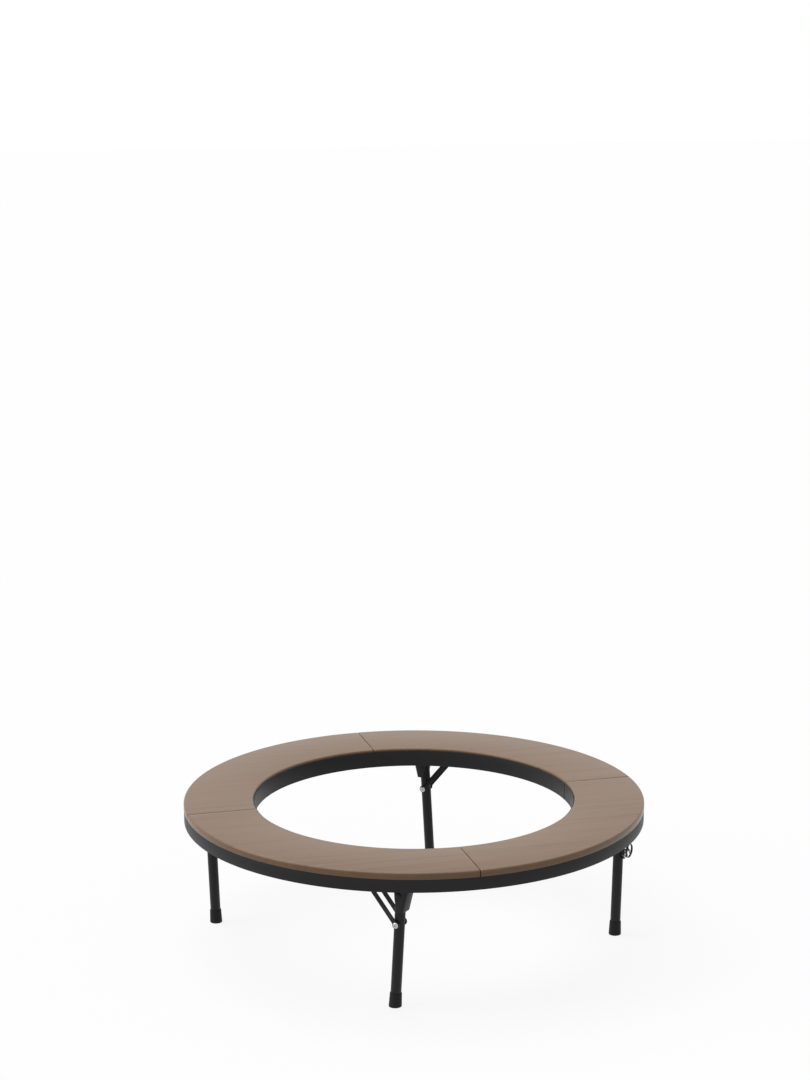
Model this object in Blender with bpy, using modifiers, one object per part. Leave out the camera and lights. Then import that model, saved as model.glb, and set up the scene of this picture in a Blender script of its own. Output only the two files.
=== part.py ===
"""Ring table that stands around a camp fire: two half frames, four boards, four folding legs."""
import math

import bmesh
import bpy
from mathutils import Matrix, Vector

# Overall sizes
OUTER_RADIUS = 0.500
OPENING_RADIUS = 0.346
TABLE_HEIGHT = 0.305
SEAT_GAP = 0.0003

# Boards
BOARD_THICKNESS = 0.014
BOARD_EDGE_RADIUS = 0.004
BOARD_SEAM = 0.0012
STEPS_PER_QUARTER = 24

# Bands, and the bars between them
BAND_HEIGHT = 0.0267
BAND_THICKNESS = 0.002
BAND_INSET = 0.002
INNER_BAND_DROP = 0.0045
HALF_SPLIT = 0.0014
BAR_THICKNESS = 0.002
END_ANGLE_WIDTH = 0.020
SEAM_RIB_WIDTH = 0.040
RAIL_WIDTH = 0.038

# Dowels that line up the two halves
DOWEL_RADIUS = 0.003
DOWEL_LENGTH = 0.016
DOWEL_REACH = 0.009
DOWEL_INSET = 0.039

# Legs, each folding in a plane along the chord of its own quarter, as shares of the ring's width
FOLD_PLANE_SHARE = 0.35
LEG_PIVOT_SHARE = 0.655
LEG_PIVOT_HEIGHT = 0.243
LEG_LEAN = 3.5
TUBE_RADIUS = 0.011
TUBE_WALL = 0.0015
TUBE_ABOVE_PIVOT = 0.013
TUBE_SIDES = 24
FOOT_HEIGHT = 0.030
FOOT_FLOOR = 0.006
FOOT_TOP_RADIUS = 0.0123
FOOT_BOTTOM_RADIUS = 0.0135

# Brackets that the legs turn in
SIDE_CLEARANCE = 0.0003
BRACKET_WALL = 0.002
BRACKET_DEPTH = 0.036
BRACKET_BACK = 0.027
BRACKET_FRONT = 0.012
BRACKET_SHOULDER = 0.008
BRACKET_TOE = 0.004
BRACKET_BELLY = 0.012
BRACKET_STRAIGHT = 0.018
PIVOT_RADIUS = 0.003
RIVET_HEAD_RADIUS = 0.0060
RIVET_HEAD_HEIGHT = 0.0022

# Braces from the legs to the guides under the frame
BRACE_DROP = 0.063
BRACE_ANGLE = 50.0
BRACE_WIDTH = 0.010
BRACE_THICKNESS = 0.002
BRACE_ROD_RADIUS = 0.003
BOLT_RADIUS = 0.003
BOLT_HEAD_RADIUS = 0.007
BOLT_HEAD_HEIGHT = 0.0035
COLLAR_RADIUS = 0.005
GUIDE_CLEARANCE = 0.001
GUIDE_WALL = 0.002
GUIDE_MARGIN = 0.012

# Lock pins with their pull rings, on one leg of each half
LOCKED_QUARTERS = (1, 3)
LOCK_DROP = 0.051
LOCK_RADIUS = 0.0025
LOCK_REACH = 0.014
LOCK_TAIL = 0.001
RING_INSET = 0.003
RING_RADIUS = 0.0148
RING_WIRE_RADIUS = 0.0011
RING_TILT = 30.0

# Places worked out from the sizes above
BAND_TOP = TABLE_HEIGHT - BOARD_THICKNESS - SEAT_GAP
BAND_BOTTOM = BAND_TOP - BAND_HEIGHT
FACET = math.radians(90.0 / STEPS_PER_QUARTER)
OUTER_FACE = OUTER_RADIUS - BAND_INSET
CLEAR_OUTSIDE = (OUTER_FACE - BAND_THICKNESS) * math.cos(FACET / 2) - SEAT_GAP
CLEAR_INSIDE = (OPENING_RADIUS + BAND_THICKNESS) / math.cos(FACET / 2) + SEAT_GAP
RING_WIDTH = OUTER_RADIUS - OPENING_RADIUS
DOWEL_PLACES = (OPENING_RADIUS + DOWEL_INSET, OUTER_RADIUS - DOWEL_INSET)
FOLD_PLANE_DISTANCE = OPENING_RADIUS + FOLD_PLANE_SHARE * RING_WIDTH
LEG_PIVOT_REACH = OPENING_RADIUS + LEG_PIVOT_SHARE * RING_WIDTH
LEG_SETBACK = math.sqrt(LEG_PIVOT_REACH**2 - FOLD_PLANE_DISTANCE**2)
RAIL_SEAM_GAP = SEAM_RIB_WIDTH / math.sqrt(2) + SEAT_GAP
RAIL_LENGTH = 2 * (FOLD_PLANE_DISTANCE - RAIL_WIDTH / 2 - RAIL_SEAM_GAP)
RAIL_BOTTOM = BAND_TOP - BAR_THICKNESS
BRACKET_TOP = RAIL_BOTTOM - SEAT_GAP - LEG_PIVOT_HEIGHT
CHEEK_INSIDE = TUBE_RADIUS + SIDE_CLEARANCE
CHEEK_OUTSIDE = CHEEK_INSIDE + BRACKET_WALL
BRACE_INSIDE = CHEEK_OUTSIDE + SIDE_CLEARANCE
BRACE_OUTSIDE = BRACE_INSIDE + BRACE_THICKNESS
GUIDE_INSIDE = BRACE_OUTSIDE + GUIDE_CLEARANCE
GUIDE_OUTSIDE = GUIDE_INSIDE + GUIDE_WALL
ROD_HEIGHT = BRACKET_TOP - GUIDE_WALL - SEAT_GAP - BRACE_WIDTH / 2
LEAN = math.radians(LEG_LEAN)
BRACE_RISE = ROD_HEIGHT + BRACE_DROP * math.cos(LEAN)
BRACE_LENGTH = BRACE_RISE / math.sin(math.radians(BRACE_ANGLE))
ROD_OPEN = BRACE_DROP * math.sin(LEAN) + BRACE_LENGTH * math.cos(math.radians(BRACE_ANGLE))
ROD_FOLDED = BRACE_DROP + math.sqrt(BRACE_LENGTH**2 - ROD_HEIGHT**2)
GUIDE_START = ROD_OPEN - GUIDE_MARGIN
GUIDE_LENGTH = ROD_FOLDED + GUIDE_MARGIN - GUIDE_START

HALVES = {"front": (2, 3), "back": (0, 1)}


def clear_scene():
    """Start from an empty file."""
    for old in list(bpy.data.objects):
        bpy.data.objects.remove(old, do_unlink=True)


def make_collection(name):
    """Add a collection to the scene."""
    made = bpy.data.collections.new(name)
    bpy.context.scene.collection.children.link(made)
    return made


def make_material(name, colour, roughness, metallic):
    """Make a Principled material of one finish."""
    made = bpy.data.materials.new(name)
    made.use_nodes = True
    shader = made.node_tree.nodes["Principled BSDF"]
    shader.inputs["Base Color"].default_value = (*colour, 1.0)
    shader.inputs["Roughness"].default_value = roughness
    shader.inputs["Metallic"].default_value = metallic
    return made


def add_object(name, data, finish=None, parent=None, place=(0, 0, 0), turn=(0, 0, 0)):
    """Link an object: a part where it has a finish, a cutter where it has none."""
    made = bpy.data.objects.new(name, data)
    made.location = place
    made.rotation_euler = turn
    made.parent = parent
    if finish is None:
        CUTTERS.objects.link(made)
        made.hide_render = True
        made.display_type = "WIRE"
    else:
        PARTS.objects.link(made)
        data.materials.append(finish)
    return made


def add_axis(name, place, turn=0.0, parent=None):
    """Add the empty that carries the pieces of one joint."""
    made = bpy.data.objects.new(name, None)
    made.location = place
    made.rotation_euler = (0, 0, turn)
    made.parent = parent
    PARTS.objects.link(made)
    return made


def mesh_from(builder, name, smooth=True):
    """Turn a bmesh into a mesh with its faces out and its round sides smooth."""
    bmesh.ops.recalc_face_normals(builder, faces=builder.faces)
    mesh = bpy.data.meshes.new(name)
    builder.to_mesh(mesh)
    builder.free()
    if smooth:
        soften(mesh)
    return mesh


def soften(mesh):
    """Shade round sides smooth and keep the edges between faces sharp."""
    mesh.shade_smooth()
    mesh.set_sharp_from_angle(angle=math.radians(35))


def swept_mesh(name, profile, start, sweep, steps):
    """Spin a closed profile of (radius, height) points about the table's axis."""
    builder = bmesh.new()
    corners = [builder.verts.new((radius, 0, height)) for radius, height in profile]
    face = builder.faces.new(corners)
    turned = Matrix.Rotation(start, 3, "Z")
    bmesh.ops.rotate(builder, verts=corners, cent=(0, 0, 0), matrix=turned)
    bmesh.ops.spin(
        builder, geom=[face], cent=(0, 0, 0), axis=(0, 0, 1), angle=sweep, steps=steps
    )
    bmesh.ops.remove_doubles(builder, verts=builder.verts, dist=0.00001)
    return mesh_from(builder, name)


def box_mesh(name, size, centre=(0, 0, 0)):
    """Make a box of the given size."""
    builder = bmesh.new()
    bmesh.ops.create_cube(builder, size=1.0)
    bmesh.ops.scale(builder, vec=size, verts=builder.verts)
    bmesh.ops.translate(builder, vec=centre, verts=builder.verts)
    return mesh_from(builder, name, smooth=False)


def rod_mesh(name, radius, low, high, axis="Y", sides=12):
    """Make a round bar along an axis between two places on it."""
    builder = bmesh.new()
    bmesh.ops.create_cone(
        builder, cap_ends=True, segments=sides, radius1=radius, radius2=radius, depth=high - low
    )
    bmesh.ops.translate(builder, vec=(0, 0, (low + high) / 2), verts=builder.verts)
    if axis == "Y":
        upright = Matrix.Rotation(math.radians(-90), 3, "X")
        bmesh.ops.rotate(builder, verts=builder.verts, cent=(0, 0, 0), matrix=upright)
    return mesh_from(builder, name)


def evaluated_mesh(source, name):
    """Keep an object's evaluated mesh, welded and facing out, and remove the object."""
    bpy.context.view_layer.update()
    graph = bpy.context.evaluated_depsgraph_get()
    raw = bpy.data.meshes.new_from_object(source.evaluated_get(graph))
    builder = bmesh.new()
    builder.from_mesh(raw)
    bmesh.ops.remove_doubles(builder, verts=builder.verts, dist=0.00001)
    bpy.data.objects.remove(source, do_unlink=True)
    bpy.data.meshes.remove(raw)
    return mesh_from(builder, name, smooth=False)


def turned_mesh(name, profile, closed=False, sides=TUBE_SIDES, along_y=False):
    """Turn a profile of (radius, height) points with a Screw modifier."""
    points = [(radius, 0, height) for radius, height in profile]
    edges = [(index, index + 1) for index in range(len(points) - 1)]
    if closed:
        edges.append((len(points) - 1, 0))
    outline = bpy.data.meshes.new(f"{name}_profile")
    outline.from_pydata(points, edges, [])
    lathe = add_object(f"{name}_lathe", outline)
    screw = lathe.modifiers.new("Turn", "SCREW")
    screw.steps = sides
    screw.render_steps = sides
    screw.use_merge_vertices = True
    screw.merge_threshold = 0.00001
    mesh = evaluated_mesh(lathe, name)
    if along_y:
        mesh.transform(Matrix.Rotation(math.radians(-90), 4, "X"))
    soften(mesh)
    return mesh


def plate_mesh(name, outline, thickness):
    """Fill an (x, z) outline and give it a thickness across y."""
    builder = bmesh.new()
    corners = [builder.verts.new((along, -thickness / 2, up)) for along, up in outline]
    raised = bmesh.ops.extrude_face_region(builder, geom=[builder.faces.new(corners)])
    moved = [item for item in raised["geom"] if isinstance(item, bmesh.types.BMVert)]
    bmesh.ops.translate(builder, vec=(0, thickness, 0), verts=moved)
    return mesh_from(builder, name, smooth=False)


def section_mesh(name, outline, start, length):
    """Run a (y, z) section along x from a start for a length."""
    mesh = plate_mesh(name, outline, length)
    mesh.transform(Matrix.Rotation(math.radians(90), 4, "Z"))
    mesh.transform(Matrix.Translation((start + length / 2, 0, 0)))
    return mesh


def combine(target, other, operation="DIFFERENCE"):
    """Cut with, join to or trim by another closed mesh."""
    change = target.modifiers.new(other.name, "BOOLEAN")
    change.operation = operation
    change.solver = "EXACT"
    change.object = other


def drill(piece, parent, place, pin_radius):
    """Cut a hole across a piece for a pin, with its running clearance."""
    hole = rod_mesh("hole", pin_radius + SEAT_GAP, -2 * CHEEK_OUTSIDE, 2 * CHEEK_OUTSIDE)
    name = f"{piece.name}_hole_{len(piece.modifiers)}"
    combine(piece, add_object(name, hole, parent=parent, place=place))


def arc_points(centre, radius, start, end, count):
    """List points along an arc, in degrees from the first axis."""
    points = []
    for index in range(count + 1):
        angle = math.radians(start + (end - start) * index / count)
        points.append((centre[0] + radius * math.cos(angle), centre[1] + radius * math.sin(angle)))
    return points


def add_board(quarter):
    """One quarter board with rounded upper edges, outside the inner band's lip."""
    edge = BOARD_EDGE_RADIUS
    bottom = TABLE_HEIGHT - BOARD_THICKNESS
    profile = [(CLEAR_INSIDE, bottom), (OUTER_RADIUS, bottom)]
    profile += arc_points((OUTER_RADIUS - edge, TABLE_HEIGHT - edge), edge, 0, 90, 4)
    profile += arc_points((CLEAR_INSIDE + edge, TABLE_HEIGHT - edge), edge, 90, 180, 4)
    trim = BOARD_SEAM / 2 / CLEAR_INSIDE
    start = math.radians(90 * quarter) + trim
    name = f"board_{quarter + 1}"
    mesh = swept_mesh(name, profile, start, math.radians(90) - 2 * trim, STEPS_PER_QUARTER)
    add_object(name, mesh, WOOD)


def add_bands(half, quarters):
    """The outer and inner bands of one half, rolled from flat strip; the inner one has the boards' lip."""
    lip = TABLE_HEIGHT - INNER_BAND_DROP
    walls = {
        "outer_band": (OUTER_FACE - BAND_THICKNESS, OUTER_FACE, BAND_TOP),
        "inner_band": (OPENING_RADIUS, OPENING_RADIUS + BAND_THICKNESS, lip),
    }
    for label, (low, high, top) in walls.items():
        profile = [(low, BAND_BOTTOM), (high, BAND_BOTTOM), (high, top), (low, top)]
        trim = HALF_SPLIT / 2 / low
        start = math.radians(90 * quarters[0]) + trim
        name = f"{label}_{half}"
        mesh = swept_mesh(name, profile, start, math.pi - 2 * trim, 2 * STEPS_PER_QUARTER)
        add_object(name, mesh, BLACK_STEEL)


def add_end_angle(half, end, angle, side):
    """The angle bar that closes one end of a half: a wall with dowel holes, and a board seat."""
    near = HALF_SPLIT / 2
    far = near + END_ANGLE_WIDTH
    wall = near + BAR_THICKNESS
    outline = [
        (side * near, BAND_BOTTOM),
        (side * wall, BAND_BOTTOM),
        (side * wall, RAIL_BOTTOM),
        (side * far, RAIL_BOTTOM),
        (side * far, BAND_TOP),
        (side * near, BAND_TOP),
    ]
    length = math.sqrt(CLEAR_OUTSIDE**2 - far**2) - CLEAR_INSIDE
    name = f"end_angle_{half}_{end}"
    turn = (0, 0, math.radians(angle))
    mesh = section_mesh(name, outline, CLEAR_INSIDE, length)
    bar = add_object(name, mesh, BLACK_STEEL, turn=turn)
    for number, place in enumerate(DOWEL_PLACES):
        hole = rod_mesh("hole", DOWEL_RADIUS + SEAT_GAP, -END_ANGLE_WIDTH, END_ANGLE_WIDTH)
        hole.transform(Matrix.Translation((place, 0, dowel_height())))
        combine(bar, add_object(f"{name}_hole_{number}", hole, turn=turn))


def dowel_height():
    """The height of the dowels, in the middle of the end wall."""
    return (RAIL_BOTTOM + BAND_BOTTOM) / 2


def add_dowels(half, quarters):
    """Two dowels that stand out of the first end wall of one half."""
    low = -HALF_SPLIT / 2 - DOWEL_REACH
    for number, radius in enumerate(DOWEL_PLACES, start=1):
        name = f"dowel_{half}_{number}"
        mesh = rod_mesh(name, DOWEL_RADIUS, low, low + DOWEL_LENGTH)
        mesh.transform(Matrix.Translation((radius, 0, dowel_height())))
        add_object(name, mesh, ZINC, turn=(0, 0, math.radians(90 * quarters[0])))


def add_seam_rib(half, quarters):
    """The flat bar that carries both board ends at the middle of one half."""
    length = math.sqrt(CLEAR_OUTSIDE**2 - (SEAM_RIB_WIDTH / 2) ** 2) - CLEAR_INSIDE
    centre = (CLEAR_INSIDE + length / 2, 0, BAND_TOP - BAR_THICKNESS / 2)
    name = f"seam_rib_{half}"
    mesh = box_mesh(name, (length, SEAM_RIB_WIDTH, BAR_THICKNESS), centre)
    add_object(name, mesh, BLACK_STEEL, turn=(0, 0, math.radians(90 * quarters[0] + 90)))


def add_rail(number, axis):
    """The flat chord bar that carries one leg, trimmed to the curve of the outer band."""
    name = f"leg_rail_{number}"
    mesh = box_mesh(name, (RAIL_LENGTH, RAIL_WIDTH, BAR_THICKNESS))
    height = BAND_TOP - BAR_THICKNESS / 2 - LEG_PIVOT_HEIGHT
    rail = add_object(name, mesh, BLACK_STEEL, parent=axis, place=(LEG_SETBACK, 0, height))
    round_radius = CLEAR_OUTSIDE / math.cos(FACET / 2)
    disc = rod_mesh("disc", round_radius, 0, TABLE_HEIGHT, "Z", 4 * STEPS_PER_QUARTER)
    combine(rail, add_object(f"{name}_trim", disc), "INTERSECT")


def add_bracket(number, axis):
    """The channel bracket that the leg turns in, whose back wall stops the leg."""
    stop = -TUBE_RADIUS / math.cos(LEAN) + BRACKET_DEPTH * math.tan(LEAN) - SIDE_CLEARANCE
    knee = BRACKET_TOP - BRACKET_STRAIGHT
    name = f"leg_bracket_{number}"
    outline = [
        (-BRACKET_BACK, BRACKET_TOP),
        (-BRACKET_BACK, knee),
        (stop - BRACKET_WALL, -BRACKET_DEPTH),
        (BRACKET_TOE, -BRACKET_DEPTH),
        (BRACKET_SHOULDER, -BRACKET_BELLY),
        (BRACKET_FRONT, BRACKET_TOP),
    ]
    mesh = plate_mesh(name, outline, 2 * CHEEK_OUTSIDE)
    bracket = add_object(name, mesh, BLACK_STEEL, parent=axis)
    slope = (stop - BRACKET_WALL + BRACKET_BACK) / (knee + BRACKET_DEPTH)
    below = BRACKET_DEPTH + BRACKET_WALL
    hollow = [
        (BRACKET_WALL - BRACKET_BACK, BRACKET_TOP - BRACKET_WALL),
        (BRACKET_WALL - BRACKET_BACK, knee),
        (stop + slope * BRACKET_WALL, -below),
        (2 * BRACKET_FRONT, -below),
        (2 * BRACKET_FRONT, BRACKET_TOP - BRACKET_WALL),
    ]
    hollow_mesh = plate_mesh("hollow", hollow, 2 * CHEEK_INSIDE)
    combine(bracket, add_object(f"{name}_hollow", hollow_mesh, parent=axis))
    drill(bracket, axis, (0, 0, 0), PIVOT_RADIUS)


def add_guide(number, axis):
    """The channel under the rail that the brace's rod runs along, open below."""
    top = BRACKET_TOP
    bottom = BAND_BOTTOM - LEG_PIVOT_HEIGHT
    roof = top - GUIDE_WALL
    outline = [
        (-GUIDE_OUTSIDE, bottom),
        (-GUIDE_INSIDE, bottom),
        (-GUIDE_INSIDE, roof),
        (GUIDE_INSIDE, roof),
        (GUIDE_INSIDE, bottom),
        (GUIDE_OUTSIDE, bottom),
        (GUIDE_OUTSIDE, top),
        (-GUIDE_OUTSIDE, top),
    ]
    name = f"brace_guide_{number}"
    mesh = section_mesh(name, outline, GUIDE_START, GUIDE_LENGTH)
    add_object(name, mesh, BLACK_STEEL, parent=axis)


def along_leg(drop):
    """A place on the leg's centre line below its pivot, in the leg's frame."""
    return (drop * math.sin(LEAN), 0, -drop * math.cos(LEAN))


def add_leg(number, axis, locked):
    """One leg: a tube with cross holes, and a foot cap cut level with the ground."""
    length = LEG_PIVOT_HEIGHT / math.cos(LEAN)
    turn = (0, -LEAN, 0)
    bottom = FOOT_FLOOR + FOOT_BOTTOM_RADIUS * math.tan(LEAN) - length
    bore = TUBE_RADIUS - TUBE_WALL
    wall = [
        (TUBE_RADIUS, TUBE_ABOVE_PIVOT),
        (TUBE_RADIUS, bottom),
        (bore, bottom),
        (bore, TUBE_ABOVE_PIVOT),
    ]
    name = f"leg_tube_{number}"
    tube = add_object(name, turned_mesh(name, wall, closed=True), BLACK_STEEL, parent=axis, turn=turn)
    drill(tube, axis, (0, 0, 0), PIVOT_RADIUS)
    drill(tube, axis, along_leg(BRACE_DROP), BOLT_RADIUS)
    if locked:
        drill(tube, axis, along_leg(LOCK_DROP), LOCK_RADIUS)

    socket = TUBE_RADIUS + SEAT_GAP
    cup = [
        (0, bottom - SEAT_GAP),
        (socket, bottom - SEAT_GAP),
        (socket, FOOT_HEIGHT - length),
        (FOOT_TOP_RADIUS, FOOT_HEIGHT - length),
        (FOOT_BOTTOM_RADIUS, FOOT_FLOOR - length),
        (FOOT_BOTTOM_RADIUS, -FOOT_BOTTOM_RADIUS - length),
        (0, -FOOT_BOTTOM_RADIUS - length),
    ]
    name = f"foot_cap_{number}"
    cap = add_object(name, turned_mesh(name, cup), RUBBER, parent=axis, turn=turn)
    depth = 4 * FOOT_BOTTOM_RADIUS
    ground = box_mesh("ground", (2 * depth, 2 * depth, depth))
    under = (LEG_PIVOT_HEIGHT * math.tan(LEAN), 0, -LEG_PIVOT_HEIGHT - depth / 2)
    combine(cap, add_object(f"{name}_ground", ground, parent=axis, place=under))


def domed_end(seat, radius, head_radius, head_height):
    """The points of a domed head on a seat, from its crown down to the shank."""
    top = seat + head_height
    return [
        (0, top),
        (head_radius * 0.5, top),
        (head_radius, seat + head_height * 0.45),
        (head_radius, seat),
        (radius, seat),
    ]


def fastener_mesh(name, side):
    """Turn a fastener across the leg from the points of one of its two like ends."""
    other = [(radius, -height) for radius, height in reversed(side)]
    return turned_mesh(name, side + other, sides=12, along_y=True)


def add_pivot_rivet(number, axis):
    """The rivet through the bracket's cheeks that the leg turns on."""
    side = domed_end(CHEEK_OUTSIDE + SEAT_GAP, PIVOT_RADIUS, RIVET_HEAD_RADIUS, RIVET_HEAD_HEIGHT)
    name = f"pivot_rivet_{number}"
    add_object(name, fastener_mesh(name, side), BLACK_STEEL, parent=axis)


def add_brace_bolt(number, axis):
    """The shouldered bolt through the leg that both bars of the brace turn on."""
    side = domed_end(BRACE_OUTSIDE + SEAT_GAP, BOLT_RADIUS, BOLT_HEAD_RADIUS, BOLT_HEAD_HEIGHT)
    side += [
        (BOLT_RADIUS, BRACE_INSIDE - SEAT_GAP),
        (COLLAR_RADIUS, BRACE_INSIDE - SEAT_GAP),
        (COLLAR_RADIUS, CHEEK_INSIDE),
        (BOLT_RADIUS, CHEEK_INSIDE),
    ]
    name = f"brace_bolt_{number}"
    add_object(name, fastener_mesh(name, side), ZINC, parent=axis)


def add_brace(number, axis):
    """Two flat bars on either side of the leg, joined by the rod that runs in the guide."""
    name = f"brace_{number}"
    half_width = BRACE_WIDTH / 2
    outline = arc_points((0, 0), half_width, 90, 270, 8)
    outline += arc_points((BRACE_LENGTH, 0), half_width, -90, 90, 8)
    turn = (0, -math.radians(BRACE_ANGLE), 0)
    rod_end = GUIDE_INSIDE - SEAT_GAP
    rod = rod_mesh(name, BRACE_ROD_RADIUS, -rod_end, rod_end)
    rod.transform(Matrix.Translation((BRACE_LENGTH, 0, 0)))
    brace = add_object(name, rod, BLACK_STEEL, parent=axis, turn=turn)
    offset = (BRACE_INSIDE + BRACE_OUTSIDE) / 2
    for label, side in (("outer", 1), ("inner", -1)):
        bar = plate_mesh("bar", outline, BRACE_THICKNESS)
        bar.transform(Matrix.Translation((0, side * offset, 0)))
        combine(brace, add_object(f"{name}_{label}", bar, parent=axis, turn=turn), "UNION")
    drill(brace, axis, (0, 0, 0), BOLT_RADIUS)


def add_lock_pin(number, axis):
    """The spring pin through the leg, with the pull ring on its outer end."""
    name = f"lock_pin_{number}"
    tip = TUBE_RADIUS + LOCK_REACH
    shank = rod_mesh(name, LOCK_RADIUS, -TUBE_RADIUS - LOCK_TAIL, tip)
    pin = add_object(name, shank, ZINC, parent=axis)
    ring_at = (0, tip - RING_INSET, 0)
    turn = (0, math.radians(RING_TILT), 0)
    eye = rod_mesh("eye", RING_WIRE_RADIUS + SEAT_GAP, -RING_RADIUS, RING_RADIUS, "Z")
    combine(pin, add_object(f"{name}_eye", eye, parent=axis, place=ring_at, turn=turn))

    name = f"pull_ring_{number}"
    bpy.ops.mesh.primitive_torus_add(
        major_segments=24,
        minor_segments=6,
        major_radius=RING_RADIUS,
        minor_radius=RING_WIRE_RADIUS,
    )
    torus = bpy.context.active_object
    loop = torus.data.copy()
    bpy.data.objects.remove(torus, do_unlink=True)
    loop.transform(Matrix.Rotation(math.radians(90), 4, "X"))
    soften(loop)
    ring = add_object(name, loop, BLACK_WIRE, parent=axis, place=ring_at, turn=turn)
    spoke = rod_mesh("spoke", RING_WIRE_RADIUS, -RING_RADIUS, RING_RADIUS, "Z", 6)
    spoke_guide = add_object(f"{name}_spoke", spoke, parent=axis, place=ring_at, turn=turn)
    combine(ring, spoke_guide, "UNION")


def add_leg_assembly(quarter):
    """Everything that carries, forms and braces one leg, in the frame of its fold plane."""
    number = quarter + 1
    turn = math.radians(90 * quarter - 45)
    place = Matrix.Rotation(turn, 3, "Z") @ Vector((-LEG_SETBACK, FOLD_PLANE_DISTANCE, 0))
    place.z = LEG_PIVOT_HEIGHT
    leg_axis = add_axis(f"leg_axis_{number}", place, turn)
    brace_axis = add_axis(f"brace_axis_{number}", along_leg(BRACE_DROP), parent=leg_axis)
    locked = quarter in LOCKED_QUARTERS
    add_rail(number, leg_axis)
    add_bracket(number, leg_axis)
    add_guide(number, leg_axis)
    add_leg(number, leg_axis, locked)
    add_pivot_rivet(number, leg_axis)
    add_brace_bolt(number, brace_axis)
    add_brace(number, brace_axis)
    if locked:
        lock_axis = add_axis(f"lock_axis_{number}", along_leg(LOCK_DROP), parent=leg_axis)
        add_lock_pin(number, lock_axis)


def build():
    """Build both halves and their legs."""
    for half, quarters in HALVES.items():
        add_bands(half, quarters)
        add_end_angle(half, "start", 90 * quarters[0], 1)
        add_end_angle(half, "end", 90 * quarters[0] + 180, -1)
        add_dowels(half, quarters)
        add_seam_rib(half, quarters)
        for quarter in quarters:
            add_board(quarter)
            add_leg_assembly(quarter)


clear_scene()
PARTS = make_collection("fire_pit_ring_table")
CUTTERS = make_collection("cutters")
WOOD = make_material("stained_wood", (0.24, 0.13, 0.075), 0.55, 0.0)
BLACK_STEEL = make_material("black_steel", (0.022, 0.022, 0.024), 0.45, 0.3)
ZINC = make_material("zinc_plated_steel", (0.62, 0.62, 0.63), 0.3, 1.0)
BLACK_WIRE = make_material("black_wire", (0.03, 0.03, 0.03), 0.35, 0.8)
RUBBER = make_material("black_rubber", (0.02, 0.02, 0.02), 0.7, 0.0)
build()
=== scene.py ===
"""Dresses the ring table that stands round a camp fire: boards, bands, legs, braces and pins.

Lengths are in metres, in the part's own frame, with z up and the ground at 0.
"""

from __future__ import annotations

import logging
import math
from contextlib import contextmanager
from dataclasses import dataclass, field
from enum import Enum
from typing import Callable, Iterator

import bmesh
import bpy
from mathutils import Matrix, Vector


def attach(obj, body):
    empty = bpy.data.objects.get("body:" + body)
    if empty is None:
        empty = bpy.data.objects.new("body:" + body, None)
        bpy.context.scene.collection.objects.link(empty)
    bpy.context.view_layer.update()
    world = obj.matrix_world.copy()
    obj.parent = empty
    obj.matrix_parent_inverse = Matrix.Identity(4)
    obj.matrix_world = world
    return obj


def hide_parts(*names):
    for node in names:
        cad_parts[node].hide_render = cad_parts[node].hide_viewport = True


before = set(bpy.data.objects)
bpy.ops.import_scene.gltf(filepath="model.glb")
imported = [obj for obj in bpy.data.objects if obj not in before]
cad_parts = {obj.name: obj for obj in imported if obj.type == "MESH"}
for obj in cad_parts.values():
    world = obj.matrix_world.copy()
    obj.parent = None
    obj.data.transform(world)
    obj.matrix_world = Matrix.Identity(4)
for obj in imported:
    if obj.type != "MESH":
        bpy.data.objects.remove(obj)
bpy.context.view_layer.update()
LOG = logging.getLogger("ring_table")

# How near a point lies to a plane that counts as on it, in metres
NEAR = 0.0001


class Slot(Enum):
    """The finishes of the table, by their slot names."""

    WOOD = "wood"
    STEEL = "steel"
    ZINC = "zinc"
    WIRE = "wire"
    RUBBER = "rubber"


class Pick(Enum):
    """What an edit-mode selection is made of."""

    VERTS = "VERT"
    EDGES = "EDGE"
    FACES = "FACE"


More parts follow.
